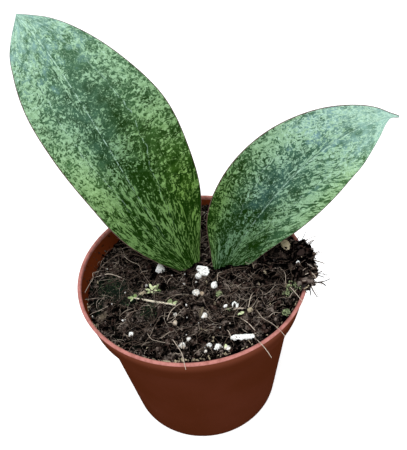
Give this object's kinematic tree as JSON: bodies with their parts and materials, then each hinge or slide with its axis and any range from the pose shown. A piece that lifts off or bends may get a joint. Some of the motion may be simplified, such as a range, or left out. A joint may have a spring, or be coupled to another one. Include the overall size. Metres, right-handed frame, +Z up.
{
  "type": "potted hoya",
  "caption": "Broad, silver-flecked hoya leaves rising from dark fibrous potting mix in a round collared plastic nursery pot.",
  "frame": {"origin": "middle of the pot's underside, on the centre foot", "axes": "+Z up through the pot; -Y is the front that the leaf faces turn to; +X is on the right seen from the front"},
  "size_m": [0.1415, 0.1064, 0.1556],
  "materials": {
    "pot_plastic": "satin terracotta-brown moulded polypropylene, paler pinkish lip",
    "potting_mix": "moist black-brown peat mix with tan fibres, matt",
    "root_tan": "pale tan root bark, matt",
    "hoya_leaf": "waxy satin-gloss living leaf, dark green with silver-green flecks",
    "perlite": "white puffed perlite, matt, porous",
    "dry_sprig": "pale yellow-green dried sprig, matt",
    "bark_chip": "beige bark chip, matt"
  },
  "bodies": {
    "root": {"pot": "pot_plastic", "soil": "potting_mix", "stem_with_roots": "root_tan", "leaf_left": "hoya_leaf", "leaf_right": "hoya_leaf", "perlite_01": "perlite", "perlite_02": "perlite", "perlite_03": "perlite", "perlite_04": "perlite", "perlite_05": "perlite", "perlite_06": "perlite", "perlite_07": "perlite", "perlite_08": "perlite", "perlite_09": "perlite", "perlite_10": "perlite", "perlite_11": "perlite", "perlite_12": "perlite", "perlite_13": "perlite", "perlite_shard": "perlite", "dry_sprig": "dry_sprig", "bark_chip": "bark_chip"}
  },
  "joints": []
}
